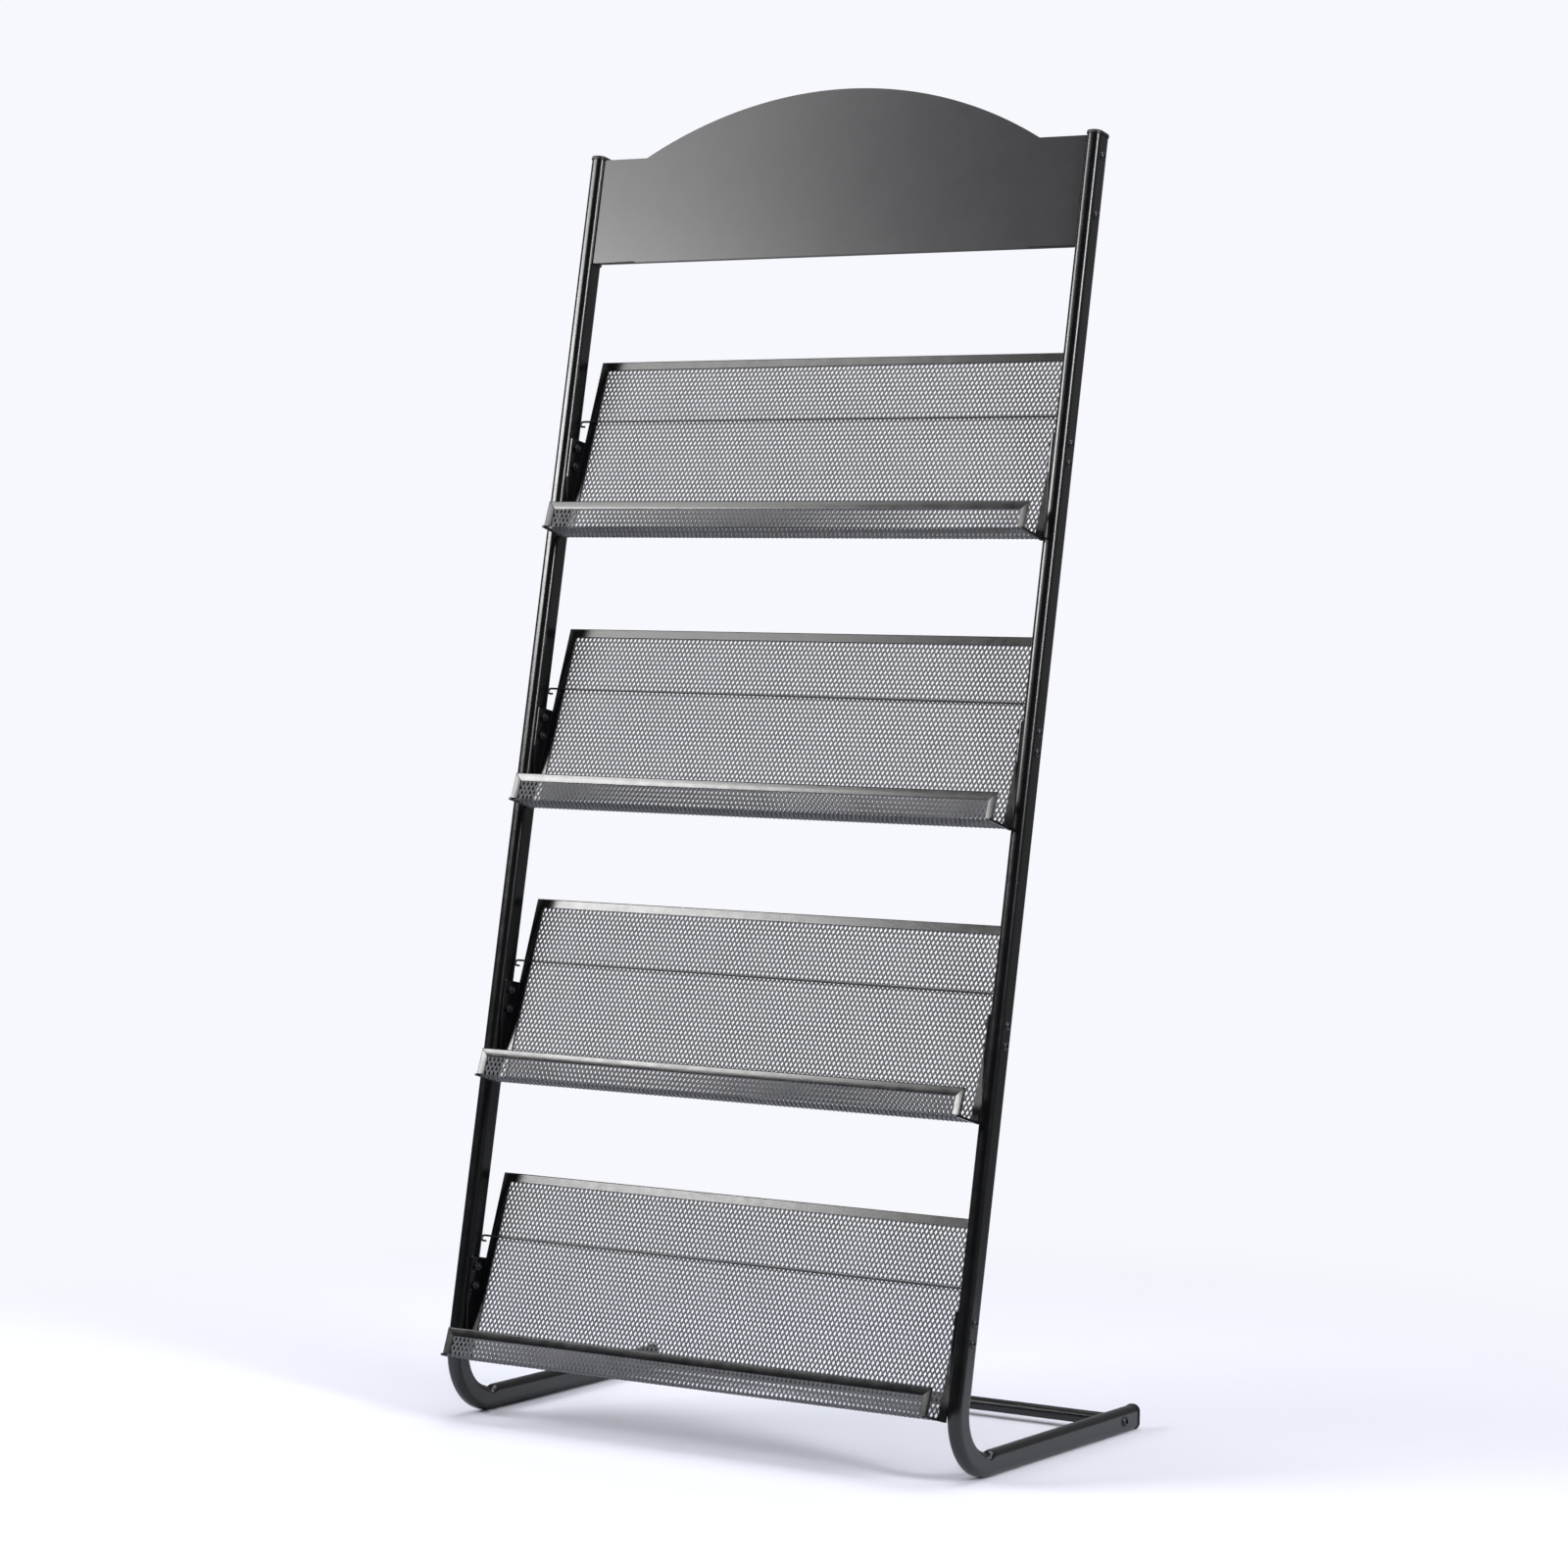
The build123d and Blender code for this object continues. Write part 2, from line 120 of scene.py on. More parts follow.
def set_down(name, bm, place, finish, nodes, sharp=32.0, flats=8.0):
    """Sets a finished bmesh down on the rack as the piece that stands for these CAD nodes.

    Edges turning more than sharp degrees stay crisp, and so do those round a face more than flats times
    the size of its neighbour, which keeps broad faces evenly flat beside their rounded edges.
    """
    for face in bm.faces:
        face.smooth = True
    for edge in (e for e in bm.edges if len(e.link_faces) == 2):
        small, large = sorted(f.calc_area() for f in edge.link_faces)
        edge.smooth = edge.calc_face_angle(0) < math.radians(sharp) and large < flats * small
    bmesh.ops.transform(bm, matrix=place, verts=bm.verts)
    mesh = bpy.data.meshes.new(name)
    bm.to_mesh(mesh)
    bm.free()
    mesh.materials.append(finish)
    piece = bpy.data.objects.new(name, mesh)
    bpy.context.scene.collection.objects.link(piece)
    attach(piece, "root")
    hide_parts(*nodes)
    return piece


def everything(bm):
    """All points, edges and faces."""
    return bm.verts[:] + bm.edges[:] + bm.faces[:]


def points_of(geometry):
    """Only the points."""
    return [v for v in geometry if isinstance(v, bmesh.types.BMVert)]


def faces_of(geometry):
    """Only the faces."""
    return [f for f in geometry if isinstance(f, bmesh.types.BMFace)]


def round_off(bm, edges, offset, segments):
    """Rounds the edges off; offset is how far each rounding reaches into its faces."""
    bmesh.ops.bevel(bm, geom=edges, offset=offset, affect="EDGES", segments=segments, profile=0.5,
                    material=-1, clamp_overlap=True)


def turn_about(bm, axis, degrees):
    """Turns the whole shape about an axis through the origin."""
    bmesh.ops.rotate(bm, verts=bm.verts, matrix=Matrix.Rotation(math.radians(degrees), 3, axis))


def both_sides(bm):
    """Adds the mirror image of everything in the bmesh across the middle of the rack."""
    twin = bmesh.ops.duplicate(bm, geom=everything(bm))["geom"]
    bmesh.ops.scale(bm, vec=(-1, 1, 1), verts=points_of(twin))
    bmesh.ops.reverse_faces(bm, faces=faces_of(twin))


def tube_end(bm, inset=0.0, wall=tube_wall):
    """A flat-oval end face at the origin: x across the tube, y along its long side; solid if wall is 0."""
    corners = bmesh.ops.create_grid(bm, x_segments=1, y_segments=1, size=0.5)["verts"]
    bmesh.ops.scale(bm, vec=(tube_width - 2 * inset, tube_depth - 2 * inset, 1), verts=corners)
    bmesh.ops.bevel(bm, geom=corners, offset=tube_corner - inset, affect="VERTICES", segments=10, profile=0.5,
                    material=-1)
    if wall:
        face = bm.faces[:][0]
        bmesh.ops.inset_region(bm, faces=[face], thickness=wall, use_even_offset=True, use_boundary=True)
        bmesh.ops.delete(bm, geom=[face], context="FACES")
    return bm.faces[:]


def with_edges(faces):
    """The faces and the edges round them, so that drawing them on leaves no wall behind inside."""
    return faces + list(dict.fromkeys(e for f in faces for e in f.edges))


def draw_out(bm, faces, move):
    """Extrudes the faces by a straight move and gives back the new end faces."""
    new = bmesh.ops.extrude_face_region(bm, geom=with_edges(faces))["geom"]
    bmesh.ops.translate(bm, vec=move, verts=points_of(new))
    return faces_of(new)


# Deep gloss black: soft lights draw crisp pale lines down the rounded corners of the tubes.
frame_black = powder_coat("satin black powder coat", "#090a0c", "#0e0f11", gloss=0.22, spread=0.03,
                          peel_height=0.008)

# The bend's centre is one bend radius above the foot's centre line and one behind the post's.
reach = tube_depth / 2 + bend_radius
bend_centre = Vector((0, reach * (1 + math.sin(lean)) / math.cos(lean), reach))
bend_steps = 56
up_post = Vector((0, math.sin(lean), math.cos(lean)))
through_post = Vector((0, math.cos(lean), -math.sin(lean)))

# The crease that the bending former leaves on the inner wall: its depth, its half width along the bend,
# how far down the sides it shows, and its place past the bend's lower end.
crease_depth, crease_width, crease_reach, crease_place = 5.5, 5.0, 9.0, 3.0
run_in, run_in_steps = 14.0, 7           # stretch of the foot next to the bend that the crease may reach


def leg_tube(x):
    """One leg from the foot's rear end to the top of the spigot, its middle at x."""
    bm = bmesh.new()
    end = tube_end(bm)
    turn_about(bm, "X", 90)
    bmesh.ops.translate(bm, vec=(x, foot_length - plug_cap, tube_depth / 2), verts=bm.verts)
    end = draw_out(bm, end, (0, bend_centre.y + run_in - foot_length + plug_cap, 0))
    for _ in range(run_in_steps):
        end = draw_out(bm, end, (0, -run_in / run_in_steps, 0))
    spun = bmesh.ops.spin(bm, geom=with_edges(end), cent=bend_centre, axis=(1, 0, 0),
                          angle=-(math.pi / 2 + lean), steps=bend_steps)
    end = draw_out(bm, faces_of(spun["geom_last"]), up_post * (joint_height - bend_centre.dot(up_post)))
    neck = draw_out(bm, end, (0, 0, 0))
    about = Vector((x, 0, 0)) + up_post * joint_height + through_post * tube_depth / 2
    bmesh.ops.scale(bm, vec=(1 - 2 * tube_wall / tube_width, 1 - 2 * tube_wall / tube_depth, 1),
                    space=Matrix.Rotation(lean, 4, "X") @ Matrix.Translation(-about),
                    verts=list({v for f in neck for v in f.verts}))
    draw_out(bm, neck, up_post * spigot_length)
    return bm


def crease(bm):
    """Presses the crease into the inner wall where the foot runs into the bend."""
    for v in (v for v in bm.verts if v.co.z < bend_radius and v.co.y < bend_centre.y + run_in):
        out = (v.co - bend_centre) * Vector((0, 1, 1))
        along = math.atan2(bend_centre.y - v.co.y, bend_centre.z - v.co.z) * bend_radius
        inside = out.length - (bend_radius - tube_depth / 2)
        if v.co.y > bend_centre.y:
            out, along, inside = Vector((0, 0, -1)), bend_centre.y - v.co.y, tube_depth - v.co.z
        dip = math.exp(-((along - crease_place) / crease_width) ** 2)
        v.co += out.normalized() * crease_depth * dip * max(0.0, 1 - inside / crease_reach)


for side, x in (("left", -post_centre), ("right", post_centre)):
    bm = leg_tube(x)
    crease(bm)
    bmesh.ops.recalc_face_normals(bm, faces=bm.faces)
    set_down(f"{side}_leg_tube", bm, on_floor, frame_black, [f"{side}_leg"])


# ---- The upper posts --------------------------------------------------------------------------------
# The same tube, cut square and pushed over the legs' spigots.  Its ends are lightly deburred before
# coating, which leaves a hair line where the two lengths meet.
post_length = 1227.2
deburr = 0.35


def level_edges(bm):
    """The edges that run at one height."""
    return [e for e in bm.edges if abs(e.verts[0].co.z - e.verts[1].co.z) < 1e-6]


for side, x in (("left", -post_centre), ("right", post_centre)):
    bm = bmesh.new()
    end = tube_end(bm)
    bmesh.ops.translate(bm, vec=(x, tube_depth / 2, joint_height), verts=bm.verts)
    draw_out(bm, end, (0, 0, post_length - plug_cap - joint_height))
    round_off(bm, level_edges(bm), deburr, 2)
    bmesh.ops.recalc_face_normals(bm, faces=bm.faces)
    set_down(f"{side}_post_tube", bm, on_post, frame_black, [f"{side}_post"])


# ---- The tube plugs ---------------------------------------------------------------------------------
# Moulded black polyethylene plugs in the four open tube ends: a rounded cap that overhangs the tube a
# little, on a stem that grips inside it.  Duller than the paint, with a faint moulding texture.
plug_overhang, plug_stem, plug_edge, plug_underside = 0.7, 14.0, 1.5, 0.25
plug_fit = 0.02                          # between the stem and the tube's wall


def moulded_plastic(name, base, roughness):
    """Fine spark-eroded mould texture that scatters the light, so the plastic looks duller than paint."""
    texture, texture_depth, patch_scale, wander = 0.35, 0.02, 120.0, 0.06
    plastic = bpy.data.materials.new(name)
    plastic.use_nodes = True
    plastic.node_tree.nodes.clear()
    place = add_node(plastic, "ShaderNodeTexCoord").outputs["Object"]
    spark = add_node(plastic, "ShaderNodeTexNoise", Vector=place, Scale=1000 / texture, Detail=2.0)
    bump = add_node(plastic, "ShaderNodeBump", Height=spark.outputs["Fac"], Distance=texture_depth / 1000,
                    Strength=0.6)
    cloud = add_node(plastic, "ShaderNodeTexNoise", Vector=place, Scale=patch_scale, Detail=2.0)
    rough = add_node(plastic, "ShaderNodeMapRange", Value=cloud.outputs["Fac"], To_Min=roughness - wander,
                     To_Max=roughness + wander)
    skin = add_node(plastic, "ShaderNodeBsdfPrincipled", IOR=1.51, Base_Color=colour(base),
                    Roughness=rough.outputs["Result"], Normal=bump.outputs["Normal"])
    add_node(plastic, "ShaderNodeOutputMaterial", Surface=skin.outputs["BSDF"])
    return plastic


plug_black = moulded_plastic("black polyethylene", "#15161a", 0.48)


def tube_plug():
    """One plug, its cap standing on the z = 0 plane."""
    bm = bmesh.new()
    stem = tube_end(bm, inset=tube_wall + plug_fit, wall=0)
    draw_out(bm, stem, (0, 0, -plug_stem))
    bmesh.ops.delete(bm, geom=[f for f in bm.faces if f.calc_center_median().z > -0.001], context="FACES")
    cap_bm = bmesh.new()
    cap = tube_end(cap_bm, inset=-plug_overhang, wall=0)
    top = draw_out(cap_bm, cap, (0, 0, plug_cap))
    round_off(cap_bm, top[0].edges[:], plug_edge, 5)
    under = [e for e in cap_bm.edges if abs(e.verts[0].co.z) + abs(e.verts[1].co.z) < 1e-6]
    round_off(cap_bm, under, plug_underside, 2)
    joined = bpy.data.meshes.new("plug cap")
    cap_bm.to_mesh(joined)
    cap_bm.free()
    bm.from_mesh(joined)
    bpy.data.meshes.remove(joined)
    bmesh.ops.holes_fill(bm, edges=[e for e in bm.edges if e.is_boundary])
    bmesh.ops.recalc_face_normals(bm, faces=bm.faces)
    return bm


bm = tube_plug()
bmesh.ops.translate(bm, vec=(post_centre, tube_depth / 2, post_length - plug_cap), verts=bm.verts)
both_sides(bm)
set_down("post_top_plugs", bm, on_post, plug_black, ["post_plugs"])

bm = tube_plug()
turn_about(bm, "X", -90)
bmesh.ops.translate(bm, vec=(post_centre, foot_length - plug_cap, tube_depth / 2), verts=bm.verts)
# The overhang is trimmed level with the floor, so that the feet stand on the tube.
for v in bm.verts:
    v.co.z = max(v.co.z, 0.0)
bmesh.ops.dissolve_degenerate(bm, dist=0.001, edges=bm.edges)
both_sides(bm)
set_down("foot_end_plugs", bm, on_floor, plug_black, ["foot_plugs"])


# ---- The crossbar -----------------------------------------------------------------------------------
# Round steel tube between the feet, closed by a threaded slug at each end and held by one bolt
# through each foot.
crossbar_diameter, crossbar_setback, crossbar_edge = 12.6, 30.0, 0.4
post_inner = post_centre - tube_width / 2

bm = bmesh.new()
bmesh.ops.create_cone(bm, cap_ends=True, segments=48, radius1=crossbar_diameter / 2,
                      radius2=crossbar_diameter / 2, depth=2 * post_inner)
round_off(bm, level_edges(bm), crossbar_edge, 2)
turn_about(bm, "Y", 90)
bmesh.ops.translate(bm, vec=(0, foot_length - crossbar_setback, tube_depth / 2), verts=bm.verts)
set_down("crossbar_tube", bm, on_floor, frame_black, ["crossbar"])


# ---- The bolts through the feet ---------------------------------------------------------------------
# Button-head M6 bolts of blacked steel with a hexagon socket.  One goes through each foot from outside,
# threads into the slug in the crossbar's end and pulls the foot against the bar.
def oxide_steel(name, base, roughness):
    """Blacked steel: a dull grey metallic sheen beside the deep gloss of the paint, with tumbling marks."""
    mark_scale, mark_depth, smoother, rougher = 900.0, 0.01, 0.08, 0.10
    steel = bpy.data.materials.new(name)
    steel.use_nodes = True
    steel.node_tree.nodes.clear()
    place = add_node(steel, "ShaderNodeTexCoord").outputs["Object"]
    marks = add_node(steel, "ShaderNodeTexNoise", Vector=place, Scale=mark_scale, Detail=3.0,
                     Roughness=0.7)
    rough = add_node(steel, "ShaderNodeMapRange", Value=marks.outputs["Fac"], To_Min=roughness - smoother,
                     To_Max=roughness + rougher)
    bump = add_node(steel, "ShaderNodeBump", Height=marks.outputs["Fac"], Distance=mark_depth / 1000,
                    Strength=0.5)
    skin = add_node(steel, "ShaderNodeBsdfPrincipled", Metallic=0.75, Base_Color=colour(base),
                    Roughness=rough.outputs["Result"], Normal=bump.outputs["Normal"])
    add_node(steel, "ShaderNodeOutputMaterial", Surface=skin.outputs["BSDF"])
    return steel


bolt_black = oxide_steel("black oxide steel", "#3a3b3e", 0.34)


def button_bolt(shank, head, head_height, socket, reach):
    """A button-head bolt along z: head standing on z = 0, shank down to -reach, hexagon socket in its top.

    The dome's rings are shares of the head's radius and of its height below the top.
    """
    bm = bmesh.new()
    bmesh.ops.create_circle(bm, cap_ends=True, segments=6, radius=socket / 2)
    key = bm.faces[:][0]
    bmesh.ops.subdivide_edges(bm, edges=key.edges[:], cuts=3)
    dome = [(0.64, 0.12), (0.82, 0.38), (0.95, 0.70), (1.0, 1.0)]
    socket_depth = 0.55 * head_height
    rings = [(head / 2 * across, -head_height * down) for across, down in dome]
    rings += [(shank / 2, -head_height), (shank / 2, -head_height - reach)]
    for radius, level in rings:
        ring = bmesh.ops.extrude_edge_only(bm, edges=[e for e in bm.edges if e.is_boundary])
        for v in points_of(ring["geom"]):
            outwards = Vector((v.co.x, v.co.y)).normalized() * radius
            v.co = Vector((outwards.x, outwards.y, level))
    bmesh.ops.holes_fill(bm, edges=[e for e in bm.edges if e.is_boundary])
    draw_out(bm, [f for f in bm.faces if f.calc_center_median().length < 1e-4], (0, 0, -socket_depth))
    bmesh.ops.translate(bm, vec=(0, 0, head_height), verts=bm.verts)
    bmesh.ops.recalc_face_normals(bm, faces=bm.faces)
    return bm


def repeat(bm, moves):
    """Puts the bmesh's shape at the end of every move, the first one included."""
    first = everything(bm)
    for move in moves[1:]:
        twin = bmesh.ops.duplicate(bm, geom=first)["geom"]
        bmesh.ops.translate(bm, vec=move, verts=points_of(twin))
    bmesh.ops.translate(bm, vec=moves[0], verts=points_of(first))


head_height = 2.4                        # of every button head on the rack
foot_bolt, foot_bolt_head, foot_bolt_socket, foot_bolt_grip = 6.0, 10.0, 4.6, 12.0
bm = button_bolt(foot_bolt, foot_bolt_head, head_height, foot_bolt_socket, reach=tube_width + foot_bolt_grip)
turn_about(bm, "Y", 90)
bmesh.ops.translate(bm, vec=(post_centre + tube_width / 2, foot_length - crossbar_setback, tube_depth / 2),
                    verts=bm.verts)
both_sides(bm)
set_down("foot_bolts", bm, on_floor, bolt_black, ["crossbar_bolts"])


# ---- The header sign --------------------------------------------------------------------------------
# One blank of sheet steel with an arched top.  Its ends are folded back along the posts and its bottom
# edge is folded under.  The coat is smoother and greyer than the tubes', so it takes a soft sheen.
header_shoulder, header_rise, shoulder_run, header_drop = 103.5, 57.5, 49.5, 0.5
header_bottom = post_length - plug_cap - header_drop - header_shoulder
header_setback, header_sheet, header_flange, header_hem = 5.0, 1.5, 14.0, 5.0
hem_clearance = 4.0                      # between the hem's ends and the posts
fold_radius, edge_radius = 1.2, 0.4
arch_half = post_inner - shoulder_run
arch_radius = (arch_half ** 2 + header_rise ** 2) / (2 * header_rise)
arch_angle = 2 * math.asin(arch_half / arch_radius)

sign_black = powder_coat("gloss black powder coat", "#2b2b2e", "#2d2d30", gloss=0.23, spread=0.01, peel=2.2,
                         peel_height=0.002, index=1.38)

bm = bmesh.new()
start = bmesh.ops.create_vert(bm, co=(arch_half, 0, header_shoulder))["vert"]
centre = Vector((0, 0, header_shoulder + header_rise - arch_radius))
bmesh.ops.spin(bm, geom=start, cent=centre, axis=(0, 1, 0), angle=-arch_angle, steps=72)
for v in [v for v in bm.verts if len(v.link_edges) == 1]:
    out = bmesh.ops.extrude_vert_indiv(bm, verts=[v])["verts"]
    bmesh.ops.translate(bm, vec=(math.copysign(shoulder_run, v.co.x), 0, 0), verts=out)
lower = bmesh.ops.extrude_edge_only(bm, edges=bm.edges[:])["geom"]
for v in points_of(lower):
    v.co.z = 0
sides = [e for e in bm.edges if all(abs(abs(v.co.x) - post_inner) < 0.01 for v in e.verts)]
flange = bmesh.ops.extrude_edge_only(bm, edges=sides)["geom"]
bmesh.ops.translate(bm, vec=(0, header_flange, 0), verts=points_of(flange))
base = [e for e in bm.edges if all(abs(v.co.z) < 0.01 and abs(v.co.y) < 0.01 for v in e.verts)]
hem = bmesh.ops.extrude_edge_only(bm, edges=base)["geom"]
hem_half = post_inner - hem_clearance
for v in points_of(hem):
    v.co.y += header_hem
    v.co.x = max(-hem_half, min(hem_half, v.co.x))
folds = [e for e in bm.edges if len(e.link_faces) == 2 and e.calc_face_angle(0) > 1.0]
round_off(bm, folds, fold_radius, 5)
bmesh.ops.recalc_face_normals(bm, faces=bm.faces)
if max(bm.faces, key=lambda f: f.calc_area()).normal.y > 0:
    bmesh.ops.reverse_faces(bm, faces=bm.faces)
bmesh.ops.translate(bm, vec=(0, header_setback, header_bottom), verts=bm.verts)
sign = set_down("header_sign", bm, on_post, sign_black, ["header_panel"])
gauge = sign.modifiers.new("sheet gauge", "SOLIDIFY")
gauge.thickness, gauge.offset, gauge.use_even_offset = header_sheet / 1000, -1.0, True
softened = sign.modifiers.new("coated edges", "BEVEL")
softened.width, softened.segments, softened.limit_method = edge_radius / 1000, 3, "ANGLE"
softened.angle_limit, softened.harden_normals = math.radians(50), True


# ---- The header's screws ----------------------------------------------------------------------------
# Two M4 button heads through each post, threaded into the sign's folded ends.
screw_diameter, screw_head, screw_socket, screw_tail = 4.0, 8.0, 3.0, 1.5
header_screw_drops = (18.5, 74.0)        # below the sign's shoulders

bm = button_bolt(screw_diameter, screw_head, head_height, screw_socket,
                 reach=tube_width + header_sheet + screw_tail)
turn_about(bm, "Y", 90)
repeat(bm, [(post_centre + tube_width / 2, tube_depth / 2, header_bottom + header_shoulder - drop)
            for drop in header_screw_drops])
both_sides(bm)
set_down("header_button_screws", bm, on_post, bolt_black, ["header_screws"])


# ---- The trays' expanded metal ----------------------------------------------------------------------
# Each tray is one sheet of fine raised expanded steel, slit and stretched into diamonds, then folded
# into a tall back, a narrow floor and a low lip.  Its strands stand at a slant across the sheet.
bracket_thickness = 3.0
tray_half = post_inner - bracket_thickness
tray_count, tray_first, tray_headroom = 4, 59.2, 90.0
tray_setback, tray_tilt = 9.5, math.radians(9.4)
back_height, floor_depth, floor_droop, lip_height = 182.0, 34.5, math.radians(5.0), 26.5
back_rim, lip_rim, rim_thickness = 8.5, 8.0, 2.4
diamond_width, diamond_height = 4.75, 8.8
strand_width, strand_slant, sheet_thickness = 1.4, 0.72, 0.7
mesh_fold, fold_steps = 2.0, 4
mesh_hidden = 1.2                        # how deep the sheet sits in the folded rims

tray_rise = back_height * math.cos(tray_tilt)
tray_spacing = (header_bottom - tray_headroom - tray_rise - tray_first) / (tray_count - 1)
tray_folds = [tray_first + tray_spacing * step for step in reversed(range(tray_count))]
front_fold = Vector((0, -floor_depth * math.cos(floor_droop), -floor_depth * math.sin(floor_droop)))


def on_tray(number):
    """From a tray's own directions, rear fold at the origin and z up its back, to the rack."""
    fold = tray_folds[number - 1]
    return on_post @ Matrix.Translation((0, tray_setback, fold)) @ Matrix.Rotation(-tray_tilt, 4, "X")


def slice_at(bm, point, across, trim=False):
    """Cuts along the plane through the point and gives what lies on it; trim drops what is beyond."""
    return bmesh.ops.bisect_plane(bm, geom=everything(bm), plane_co=point, plane_no=across, dist=1e-4,
                                  clear_outer=trim)["geom_cut"]


def staggered_cells(bm, half, low, high):
    """Fills the sheet's outline, and a little more, with diamond-shaped cells in the plane y = 0."""
    cells = math.ceil(2 * half / diamond_width + (high - low) / diamond_height) + 2
    bmesh.ops.create_grid(bm, x_segments=cells, y_segments=cells, size=cells / 2)
    turn_about(bm, "Z", 45)
    bmesh.ops.scale(bm, vec=(diamond_width / math.sqrt(2), diamond_height / math.sqrt(2), 1), verts=bm.verts)
    turn_about(bm, "X", 90)
    bmesh.ops.translate(bm, vec=(0, 0, (high + low) / 2), verts=bm.verts)
    spare = [f for f in bm.faces if abs(f.calc_center_median().x) > half + diamond_width
             or not low - diamond_height < f.calc_center_median().z < high + diamond_height]
    bmesh.ops.delete(bm, geom=spare, context="FACES")


def expanded_metal():
    """The folded sheet in the tray's directions, without its thickness.

    It is laid out flat first, with each fold's middle line where the bend allowance puts it.
    """
    rear_turn, front_turn = math.pi / 2 - floor_droop, math.pi / 2 + floor_droop
    rear_arc = mesh_fold * (math.tan(rear_turn / 2) - rear_turn / 2)
    front_arc = mesh_fold * (math.tan(front_turn / 2) - front_turn / 2)
    front_middle = rear_arc - (floor_depth - rear_arc - front_arc)
    low = front_middle - (lip_height - mesh_hidden - front_arc)
    high = back_height - mesh_hidden
    half = tray_half - mesh_hidden
    bm = bmesh.new()
    staggered_cells(bm, half, low, high)
    holes = bm.faces[:]
    bmesh.ops.inset_individual(bm, faces=holes, thickness=strand_width / 2, use_even_offset=True)
    for hole in holes:
        middle = hole.calc_center_median().z
        for v in hole.verts:
            v.co.y += strand_slant * (v.co.z - middle) / (diamond_height / 2)
    bmesh.ops.delete(bm, geom=holes, context="FACES")
    for edge, outwards in (((half, 0, 0), (1, 0, 0)), ((-half, 0, 0), (-1, 0, 0)),
                           ((0, 0, high), (0, 0, 1)), ((0, 0, low), (0, 0, -1))):
        slice_at(bm, edge, outwards, trim=True)
    lines = []
    for middle, turn in ((front_middle, front_turn), (rear_arc, rear_turn)):
        step = mesh_fold * turn / fold_steps
        lines += [(middle + step * (k - (fold_steps - 1) / 2), -turn / fold_steps) for k in range(fold_steps)]
    for height, _ in lines:
        slice_at(bm, (0, 0, height), (0, 0, 1))
    flat = {v: v.co.z for v in bm.verts}
    for height, turn in lines:
        bmesh.ops.rotate(bm, cent=(0, 0, height), matrix=Matrix.Rotation(turn, 3, "X"),
                         verts=[v for v, z in flat.items() if z < height - 1e-3])
    return bm


# Dull and mid grey, greyer than the tubes: the grey is painted sheen for the light the thin slanted strands
# catch.
mesh_grey_painted_sheen = powder_coat("black powder coat on expanded metal", "#56575b", "#5f6064", gloss=0.50, spread=0.06,
                         peel=0.9, peel_height=0.01)

bm = expanded_metal()
master = bpy.data.meshes.new("expanded metal")
bm.to_mesh(master)
bm.free()
for number in range(1, tray_count + 1):
    bm = bmesh.new()
    bm.from_mesh(master)
    # The sheet's grey colour is painted sheen on black paint.
    sheet = set_down(f"tray_{number}_expanded_metal", bm, on_tray(number), mesh_grey_painted_sheen,
                     [f"tray_{number}_mesh"], sharp=20.0, flats=math.inf)
    thickness = sheet.modifiers.new("sheet thickness", "SOLIDIFY")
    thickness.thickness, thickness.offset, thickness.use_even_offset = sheet_thickness / 1000, 0.0, False
bpy.data.meshes.remove(master)


# ---- The trays' rims --------------------------------------------------------------------------------
# Strips of thin steel folded over the sheet's edges, mitred and spot-welded at the corners, with soft
# bends along their outer edges.  The lip's rim is pressed to a shallow ridge along its length.

# Glossy with a slight wave, so the strips show broken streaks of light along their length.
rim_black = powder_coat("black powder coat on folded rims", "#0d0e10", "#131416", gloss=0.20, spread=0.035,
                        peel=1.8, peel_height=0.014)
mitre_gap, bend_round, corner_round, lip_ridge = 0.12, 1.0, 0.2, 0.48


def rim_bar(corners, outer, ridge=0.0):
    """A flat strip through four corners (x, z) of the plane y = 0, rounded along the outer edge.

    The corners run along the outer edge and back along the inner one; ridge is how far the front falls
    back from the strip's middle line to its inner edge.
    """
    outer_start, outer_end, inner_end, inner_start = [Vector((x, 0, z)) for x, z in corners]
    bm = bmesh.new()
    face = bm.faces.new([bm.verts.new((x, -rim_thickness / 2, z)) for x, z in corners])
    draw_out(bm, [face], (0, rim_thickness, 0))
    bmesh.ops.recalc_face_normals(bm, faces=bm.faces)
    outer_edges = [e for e in bm.edges if outer(e) and abs(e.verts[0].co.y - e.verts[1].co.y) < 1e-6]
    round_off(bm, outer_edges, bend_round, 5)
    round_off(bm, [e for e in bm.edges if e.calc_face_angle(0) > math.radians(50)], corner_round, 2)
    if ridge:
        along = (outer_end + inner_end) - (outer_start + inner_start)
        across = along.cross((0, 1, 0))
        crest = set(points_of(slice_at(bm, (outer_start + inner_start) / 2, across)))
        inwards = (inner_start - outer_start).project(across).normalized()
        width = inwards.dot(inner_start - outer_start)
        for v in (v for v in bm.verts if v.co.y < 0 and v not in crest):
            share = (v.co - outer_start).dot(inwards) / width
            v.co.y += ridge * max(0.0, 2 * share - 1)
    return bm


def top_rim(width, height, ridge=0.0):
    """The strip along the top edge, cut to a mitre at both ends."""
    half, g = tray_half, mitre_gap
    corners = [(-half + g, height), (half - g, height), (half - width - g, height - width),
               (width - half + g, height - width)]
    return rim_bar(corners, lambda e: min(v.co.z for v in e.verts) > height - 0.01, ridge)


def side_rims(width, height, foot, ridge=0.0):
    """The strips down both side edges, from their mitres to the foot."""
    half, g = tray_half, mitre_gap
    corners = [(half, height - g), (half, foot), (half - width, foot), (half - width, height - width - g)]
    bm = rim_bar(corners, lambda e: min(v.co.x for v in e.verts) > half - 0.01, ridge)
    both_sides(bm)
    return bm


